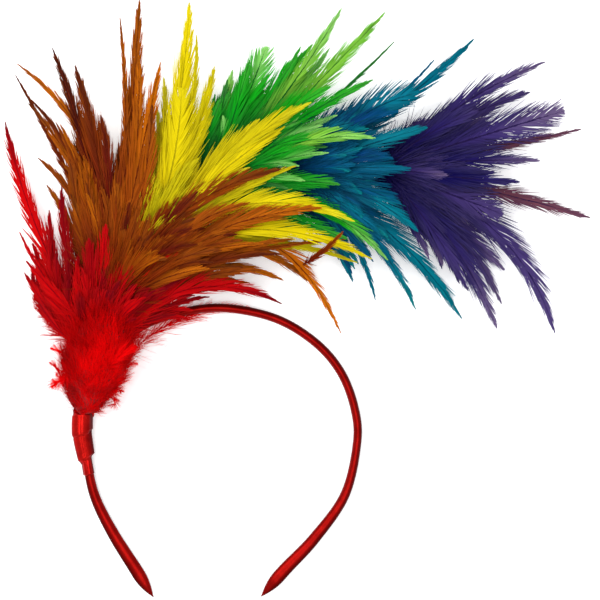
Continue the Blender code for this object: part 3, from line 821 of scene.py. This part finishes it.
def quill_lines(bunch, habit):
    """A mesh of quill lines, with what the feather tree reads at their points."""
    rng = random.Random(habit.seed)
    rows = list(bunch.blades) + between(bunch, habit, rng)
    shown = len(bunch.blades)
    broader = bunch._replace(root_spread=bunch.root_spread + FILLER_SPREAD)
    points = []
    edges = []
    values = {key: [] for key in ("along", "barb", "sweep", "roll", "tint", "run")}
    for number, blade in enumerate(rows):
        back = 0 if number < shown else rng.uniform(0, FILLER_BACK)
        line_points = quill_points(bunch if number < shown else broader, blade, min(number, shown), back)
        roll = math.radians(rng.uniform(-QUILL_ROLL_DEG, QUILL_ROLL_DEG))
        run = rng.uniform(0, RUN_SCATTER)
        length = sum((b - a).length for a, b in zip(line_points, line_points[1:]))
        for k, point in enumerate(line_points):
            along = k / (QUILL_POINTS - 1)
            if k:
                edges.append((len(points) - 1, len(points)))
                run += (point - line_points[k - 1]).length * MM
            points.append((point * MM + PHOTO_MIDDLE)[:])
            values["along"].append(along)
            values["barb"].append(barb_length(habit, blade, along, length) * MM)
            values["sweep"].append(barb_sweep(habit, blade, along))
            values["roll"].append(roll * (ROLL_AT_ROOT + (1 - ROLL_AT_ROOT) * along))
            values["tint"].append((blade.tint + 0.5) / TINTS)
            values["run"].append(run)
    mesh = bpy.data.meshes.new(bunch.name)
    mesh.from_pydata(points, edges, [])
    for key, numbers in values.items():
        mesh.attributes.new(key, "FLOAT", "POINT").data.foreach_set("value", numbers)
    return new_object(bunch.name, mesh)


def hackle_tree():
    """Feathers from quill lines: on each side of a quill, barbs that cling in bundles and sweep forward."""
    tree = bpy.data.node_groups.new("hackle feathers", "GeometryNodeTree")
    sockets(tree, "INPUT", Quills="Geometry", Spacing="Float", Barb_Width="Float", Looseness="Float",
            Bundle="Float", Parting="Float", Fluff_End="Float", Quill_Radius="Float", Dye="Material")
    sockets(tree, "OUTPUT", Feathers="Geometry")
    given = put(tree, "NodeGroupInput").outputs
    curve = put(tree, "GeometryNodeMeshToCurve", {0: given["Quills"]}).outputs[0]
    fine = put(tree, "GeometryNodeResampleCurve", {"Curve": curve, "Length": given["Spacing"]}, mode="LENGTH")
    stations = put(tree, "GeometryNodeCurveToPoints", {0: fine.outputs[0]}, mode="EVALUATED").outputs
    points = keep(tree, stations["Points"], "ahead", stations["Tangent"], kind="FLOAT_VECTOR")
    ahead = named(tree, "ahead", "FLOAT_VECTOR")
    along = named(tree, "along")
    run = named(tree, "run")
    tint = named(tree, "tint")
    level = vector_calc(tree, "NORMALIZE", vector_calc(tree, "CROSS_PRODUCT", (0, 0, 1), ahead))
    side = put(tree, "ShaderNodeVectorRotate", {
        "Vector": level, "Axis": ahead, "Angle": named(tree, "roll")}).outputs[0]
    above = vector_calc(tree, "CROSS_PRODUCT", ahead, side)
    fluff = ranged(tree, along, 0.0, given["Fluff End"], 1.0, 0.0)
    vanes = []
    for number, way in enumerate((1.0, -1.0)):
        seeds = {use: seed + number for use, seed in BARB_SEEDS.items()}
        bundles = calc(tree, "DIVIDE", run, given["Bundle"])
        spot = combined(tree, bundles, product(tree, tint, TINT_SHIFT), SIDE_SHIFT * way)
        drift = noise(tree, spot, DRIFT_SCALE, DRIFT_DETAIL)[0]
        phase = calc(tree, "ADD", bundles, product(tree, drift, DRIFT_GAIN))
        part = calc(tree, "SUBTRACT", calc(tree, "FRACT", phase), 0.5)
        slack = calc(tree, "ADD", given["Looseness"], product(tree, fluff, FLUFF_SLACK))
        stray = calc(tree, "POWER", chance(tree, -1.0, 1.0, seeds["stray"]), STRAY_POWER)
        jitter = product(tree, stray, product(tree, slack, STRAY_GAIN))
        parted = product(tree, part, given["Parting"])
        angle = calc(tree, "ADD", calc(tree, "ADD", named(tree, "sweep"), jitter), parted)
        longer = calc(tree, "ADD", named(tree, "barb"), BARB_EXTRA)
        longer = product(tree, longer, chance(tree, *BARB_LENGTHS, seeds["length"]))
        longer = product(tree, longer, ranged(tree, drift, *DRIFT_RANGE, *BUNDLE_LENGTHS))
        wave = product(tree, calc(tree, "SUBTRACT", drift, 0.5), BUNDLE_LIFT)
        shake = product(tree, chance(tree, -BARB_SHAKE, BARB_SHAKE, seeds["shake"]), slack)
        out = plus(tree, times(tree, ahead, calc(tree, "COSINE", angle)),
                   times(tree, side, product(tree, calc(tree, "SINE", angle), way)),
                   times(tree, above, calc(tree, "ADD", wave, shake)))
        tilt = times(tree, ahead, product(tree, part, BUNDLE_TILT))
        facing = plus(tree, above, any_way(tree, BARB_SCATTER, seeds["facing"]), tilt)
        width = product(tree, given["Barb Width"], ranged(tree, fluff, 0.0, 1.0, 1.0, FLUFF_WIDTH))
        vanes.append(planted(tree, points, barb_line(tree, BARB_CURL * way), out, facing, longer, width))
    raised = put(tree, "GeometryNodeSetPosition", {0: curve, "Offset": (0, 0, QUILL_RAISED)}).outputs[0]
    coarse = put(tree, "GeometryNodeResampleCurve", {"Curve": raised, "Length": QUILL_STEP}, mode="LENGTH")
    radius = product(tree, calc(tree, "SUBTRACT", QUILL_TAPER_FROM, along), given["Quill Radius"])
    thin = put(tree, "GeometryNodeSetCurveRadius", {0: coarse.outputs[0], "Radius": radius}).outputs[0]
    profile = put(tree, "GeometryNodeCurvePrimitiveCircle", {"Resolution": QUILL_SIDES, "Radius": 1.0})
    index = product(tree, put(tree, "GeometryNodeInputIndex").outputs[0], QUILL_ACROSS / QUILL_SIDES)
    profile = keep(tree, profile.outputs[0], "across", index)
    quill = put(tree, "GeometryNodeCurveToMesh", {
        0: thin, 1: profile, "Scale": put(tree, "GeometryNodeInputRadius").outputs[0]})
    joined = put(tree, "GeometryNodeJoinGeometry")
    for part in (*vanes, quill.outputs[0]):
        tree.links.new(part, joined.inputs[0])
    finish_barbs(tree, joined.outputs[0], given["Dye"])
    return tree


HACKLE = hackle_tree()
Habit = namedtuple("Habit", (
    "spacing barb_width sweep_root sweep_tip looseness bundle parting fluff_end "
    "fillers drop fill_from seed"))
MARABOU = Habit(
    spacing=0.00030, barb_width=0.00018, sweep_root=26, sweep_tip=11, looseness=0.16, bundle=0.0040,
    parting=0.25, fluff_end=0.45, fillers=16, drop=4.5, fill_from=-180, seed=8)


def feathers(bunch, habit, dyes, node):
    """A bunch's feathers, as one piece that takes the place of its solid."""
    piece = quill_lines(bunch, habit)
    grown(piece, HACKLE, Spacing=habit.spacing, Barb_Width=habit.barb_width, Looseness=habit.looseness,
          Bundle=habit.bundle, Parting=habit.parting, Fluff_End=habit.fluff_end, Quill_Radius=QUILL_RADIUS,
          Dye=dyed_material(bunch.name, dyes))
    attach(piece, "root")
    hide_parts(node)


PUFF_BUNCH = Bunch("marabou_plumes", (-93.7, -28.8, 14), 75, 9.0, table(
    Blade,
    (135, 12, -2, 18, 17, 12, 0),
    (-177, 7, 2, 10, 8, 12, 2),
    (-132, 7, 3, 16, 15, 11, 0),
    (42, 21, 2, 30, 28, 11, 2),
    (28, 14, 2, 12, 12, 14, 0),
    (-53, 6, -2, 16, 18, 12, 4),
    (27, 71, 10, 4, 3, 10, 5),
    (-149, 8, 3, 26, 22, 11, 2),
))
feathers(PUFF_BUNCH, MARABOU, DOWN_DYES, "marabou_puff")


# Red feathers: the first bunch of the plume, with down at its foot. A hackle is a long, lance-shaped feather
# whose barbs sweep forward along a thin quill, cling in small bundles and part at the edges.

SLEEK = Habit(
    spacing=0.00058, barb_width=0.00052, sweep_root=21, sweep_tip=10, looseness=0.035, bundle=0.0070,
    parting=0.10, fluff_end=0.20, fillers=0, drop=4.5, fill_from=-180, seed=7)
RED_FOOT = table(
    FootSection,
    (2.02, 13.0, 11.6),
    (2.30, 12.6, 11.0),
    (2.60, 10.6, 9.2),
    (2.85, 7.6, 6.6),
    (2.99, 4.0, 3.6),
)
RED_BUNCH = Bunch("red_hackles", (-88.3, -8.1, 18), 72, 9.0, table(
    Blade,
    (112, 97, 4, 12, 8, 11, 1),
    (100, 61, 3, 20, 24, 9, 7),
    (125, 48, 2, 18, 16, 4, 2),
    (131, 35, 0, 23, 25, 7, 2),
    (152, 26, 4, 9, 5, 11, 4),
    (82, 45, -1, 27, 31, 16, 2),
    (89, 38, -1, 27, 32, 16, 6),
    (63, 38, 2, 27, 31, 16, 4),
    (47, 52, 5, 27, 31, 5, 0),
    (11, 74, 14, 23, 15, 11, 3),
    (16, 66, 11, 14, 8, 11, 3),
))
RED_DYES = Dyes(
    a=(0.55, 0.0, 0.001), b=(0.15, 0.0, 0.002), odd=(0.10, 0.0, 0.004), root=(0.44, 0.0, 0.001),
    tip=(0.10, 0.0, 0.004), edge=(0.50, 0.008, 0.008), quill=(0.22, 0.0, 0.004), root_end=0.30,
    tip_start=0.66, edge_share=0.30, streaks=0.35, roughness=0.60)
downy_foot("red_foot", RED_FOOT, "red_feathers")
feathers(RED_BUNCH, SLEEK._replace(looseness=0.05, fillers=84, fill_from=26, seed=31),
         RED_DYES, "red_feathers")

# A feather in the darkest mixed red lies under the others on the left, where the plume would let the light
# through. Its dark red is painted shade.
RED_SHADE_UNDER = RED_BUNCH._replace(name="red_shade_under", blades=(
    Blade(99, 52, 0, 9, 7, 14, 8),
))
feathers(RED_SHADE_UNDER, SLEEK, RED_DYES, "red_feathers")


# Orange feathers: natural brown hackles dyed orange, so many keep a dark edge or a nearly black tip. Some
# sweep forward over the band, and a few thin ones stand far out of the plume on the left.

ORANGE_BUNCH = Bunch("orange_hackles", (-78.8, 10.8, 18), 58, 3.5, table(
    Blade,
    (114, 106, -15, 19, 14, 7, 2),
    (116, 103, -2, 12, 8, 4, 7),
    (104, 105, -3, 22, 26, 11, 9),
    (99, 95, -3, 26, 30, 18, 7),
    (93, 72, -2, 27, 31, 14, 8),
    (101, 77, 3, 16, 15, 16, 6),
    (85, 127, -2, 24, 17, 14, 4),
    (88, 116, -4, 25, 28, 5, 4),
    (83, 100, -4, 29, 30, 12, 2),
    (78, 100, -1, 31, 23, 12, 0),
    (77, 80, -4, 30, 32, 12, 3),
    (36, 88, 10, 31, 34, 14, 5),
    (22, 95, 8, 30, 35, 14, 2),
    (13, 101, 4, 22, 20, 4, 4),
    (-11, 99, 35, 17, 8, 11, 0),
    (4, 71, 9, 18, 12, 11, 2),
    (49, 55, 2, 29, 33, 16, 8),
    (102, 52, -3, 7, 1, 18, 8),
    (31, 58, 5, 7, 1, 16, 8),
))
ORANGE_DYES = Dyes(
    a=(0.55, 0.14, 0.001), b=(0.066, 0.003, 0.001), odd=(0.035, 0.005, 0.003), root=(0.100, 0.0004, 0.0003),
    tip=(0.035, 0.004, 0.003), edge=(0.38, 0.075, 0.002), quill=(0.12, 0.012, 0.001), root_end=1.0,
    tip_start=0.62, edge_share=0.40, streaks=0.70, roughness=0.50)
feathers(ORANGE_BUNCH, SLEEK._replace(fillers=72, drop=2.0, fill_from=6, seed=12),
         ORANGE_DYES, "orange_feathers")

# One more feather lies under the lowest orange one. From that one a strip of web has come loose, and it
# stands up across the yellow feathers.
ORANGE_UNDER = ORANGE_BUNCH._replace(name="orange_under", blades=(
    Blade(1, 84, 19, 14, 7, 12, 1),
))
LOOSE_STRIP = Bunch("orange_loose_strip", (4.4, 18.2, 18), 39, 0.0, (
    Blade(39, 22, -1, 32, 35, 4, 6),
))
for extra in (ORANGE_UNDER, LOOSE_STRIP):
    feathers(extra, SLEEK, ORANGE_DYES, "orange_feathers")


# Yellow feathers: bright lemon hackles, olive where the web is thin over the dark gaps, which is partly their
# own tone and partly painted shade, and paler at their tips. The lowest ones reach far forward, below the
# green bunch.

YELLOW_BUNCH = Bunch("yellow_hackles", (-63.6, 27.8, 18), 45, 3.5, table(
    Blade,
    (80, 108, -4, 24, 15, 16, 0),
    (76, 93, -6, 24, 25, 7, 4),
    (69, 83, -4, 28, 21, 14, 2),
    (84, 73, -4, 23, 15, 11, 5),
    (76, 68, -4, 29, 32, 19, 0),
    (48, 73, 1, 30, 32, 14, 2),
    (41, 94, 6, 31, 36, 16, 3),
    (41, 79, 3, 31, 31, 16, 0),
    (8, 89, 14, 29, 35, 12, 1),
    (-2, 96, 11, 28, 27, 11, 0),
    (-3, 90, 7, 20, 16, 8, 4),
    (29, 73, 3, 29, 33, 10, 4),
    (68, 53, 0, 8, 2, 18, 7),
    (21, 55, 3, 8, 2, 16, 7),
    (58, 44, 2, 29, 31, 14, 4),
))
YELLOW_DYES = Dyes(
    a=(0.64, 0.51, 0.001), b=(0.32, 0.29, 0.003), odd=(0.66, 0.62, 0.06), root=(0.34, 0.21, 0.001),
    tip=(0.58, 0.56, 0.02), edge=(0.50, 0.45, 0.006), quill=(0.42, 0.34, 0.002), root_end=0.45,
    tip_start=0.75, edge_share=0.45, streaks=0.35, roughness=0.50)
feathers(YELLOW_BUNCH, SLEEK._replace(fillers=44, fill_from=38, seed=13),
         YELLOW_DYES, "yellow_feathers")


# Green feathers: bright grass green, darkened towards the stem by painted shade, and pale and fuzzy at some
# tips. Most stand up out of the plume, and a few come forward below it.

GREEN_BUNCH = Bunch("green_hackles", (-35.0, 51.6, 17), 24, 3.5, table(
    Blade,
    (67, 64, -1, 24, 24, 20, 1),
    (79, 51, 0, 18, 14, 11, 9),
    (71, 55, -1, 25, 29, 16, 2),
    (54, 77, 1, 22, 16, 14, 0),
    (53, 97, -3, 24, 22, 12, 9),
    (45, 110, -2, 26, 15, 14, 10),
    (38, 103, -4, 29, 25, 3, 8),
    (33, 85, 3, 29, 30, 12, 2),
    (39, 68, 3, 28, 32, 18, 0),
    (17, 75, 8, 30, 34, 11, 11),
    (3, 56, 3, 27, 30, 16, 4),
    (-20, 82, 11, 25, 22, 12, 1),
    (-18, 62, 1, 24, 27, 14, 4),
    (42, 44, 1, 7, 1, 18, 6),
    (-10, 45, 3, 7, 1, 16, 6),
))
GREEN_DYES = Dyes(
    a=(0.001, 0.32, 0.003), b=(0.0, 0.085, 0.012), odd=(0.17, 0.42, 0.035), root=(0.0, 0.035, 0.010),
    tip=(0.27, 0.58, 0.15), edge=(0.030, 0.37, 0.020), quill=(0.004, 0.11, 0.012), root_end=0.65,
    tip_start=0.60, edge_share=0.38, streaks=0.45, roughness=0.50)
feathers(GREEN_BUNCH, SLEEK._replace(fillers=66, seed=14), GREEN_DYES, "green_feathers")


# Teal feathers: blue-green hackles that turn to a clear blue on the lower side. The bunch fans out wide,
# with long, narrow feathers at its upper and lower sides.

TEAL_BUNCH = Bunch("teal_hackles", (6.7, 57.5, 16), 4, 3.5, table(
    Blade,
    (37, 94, -3, 22, 18, 11, 2),
    (39, 73, -3, 23, 25, 3, 6),
    (33, 59, 5, 25, 27, 19, 2),
    (30, 47, 5, 27, 30, 16, 8),
    (18, 56, 1, 27, 31, 14, 0),
    (1, 46, 1, 27, 31, 16, 4),
    (-17, 44, 2, 25, 27, 18, 6),
    (-26, 55, 4, 26, 29, 14, 0),
    (-59, 62, 5, 16, 10, 5, 2),
    (-49, 76, 6, 17, 15, 8, 3),
    (-41, 94, 7, 19, 14, 14, 0),
    (-43, 54, 3, 21, 21, 14, 4),
    (19, 42, 2, 8, 2, 16, 8),
    (-24, 39, -1, 8, 2, 16, 8),
))
TEAL_DYES = Dyes(
    a=(0.0, 0.145, 0.20), b=(0.0, 0.038, 0.145), odd=(0.0, 0.011, 0.04), root=(0.0, 0.016, 0.065),
    tip=(0.002, 0.20, 0.20), edge=(0.0, 0.085, 0.13), quill=(0.0, 0.050, 0.090), root_end=0.65,
    tip_start=0.60, edge_share=0.40, streaks=0.45, roughness=0.45)
feathers(TEAL_BUNCH, SLEEK._replace(fillers=66, seed=15), TEAL_DYES, "teal_feathers")


# Purple feathers: the last bunch, deep violet with some lilac and wine-brown ones, and softer, blunt tips.
# It fans out past the end of the stem.

PURPLE_BUNCH = Bunch("purple_hackles", (45.0, 59.4, 15), 0, 3.5, table(
    Blade,
    (33, 82, 4, 20, 16, 12, 3),
    (17, 80, 0, 22, 22, 20, 3),
    (11, 87, -1, 18, 14, 7, 10),
    (2, 65, 1, 24, 26, 14, 7),
    (-7, 56, -1, 26, 30, 14, 8),
    (-13, 93, 1, 16, 10, 11, 10),
    (-43, 103, 14, 16, 8, 18, 0),
    (-55, 83, 5, 20, 18, 16, 5),
    (-48, 77, 6, 12, 6, 12, 5),
    (27, 72, 3, 12, 8, 16, 2),
    (-21, 54, 0, 21, 20, 20, 2),
    (29, 44, 2, 25, 28, 14, 6),
    (-56, 62, 2, 24, 25, 12, 4),
    (14, 52, 2, 7, 1, 18, 6),
    (-30, 54, 3, 7, 1, 16, 6),
))
PURPLE_DYES = Dyes(
    a=(0.056, 0.034, 0.150), b=(0.002, 0.0, 0.066), odd=(0.13, 0.038, 0.054), root=(0.001, 0.0, 0.046),
    tip=(0.14, 0.095, 0.19), edge=(0.11, 0.088, 0.20), quill=(0.016, 0.008, 0.060), root_end=0.70,
    tip_start=0.55, edge_share=0.24, streaks=0.45, roughness=0.50)
feathers(PURPLE_BUNCH, SLEEK._replace(looseness=0.06, fillers=64, seed=16),
         PURPLE_DYES, "purple_feathers")

# A lilac feather lies under the long curved one.
PURPLE_UNDER = PURPLE_BUNCH._replace(name="purple_under", blades=(
    Blade(-39, 67, 1, 12, 6, 18, 1),
))
feathers(PURPLE_UNDER, SLEEK._replace(looseness=0.06), PURPLE_DYES, "purple_feathers")
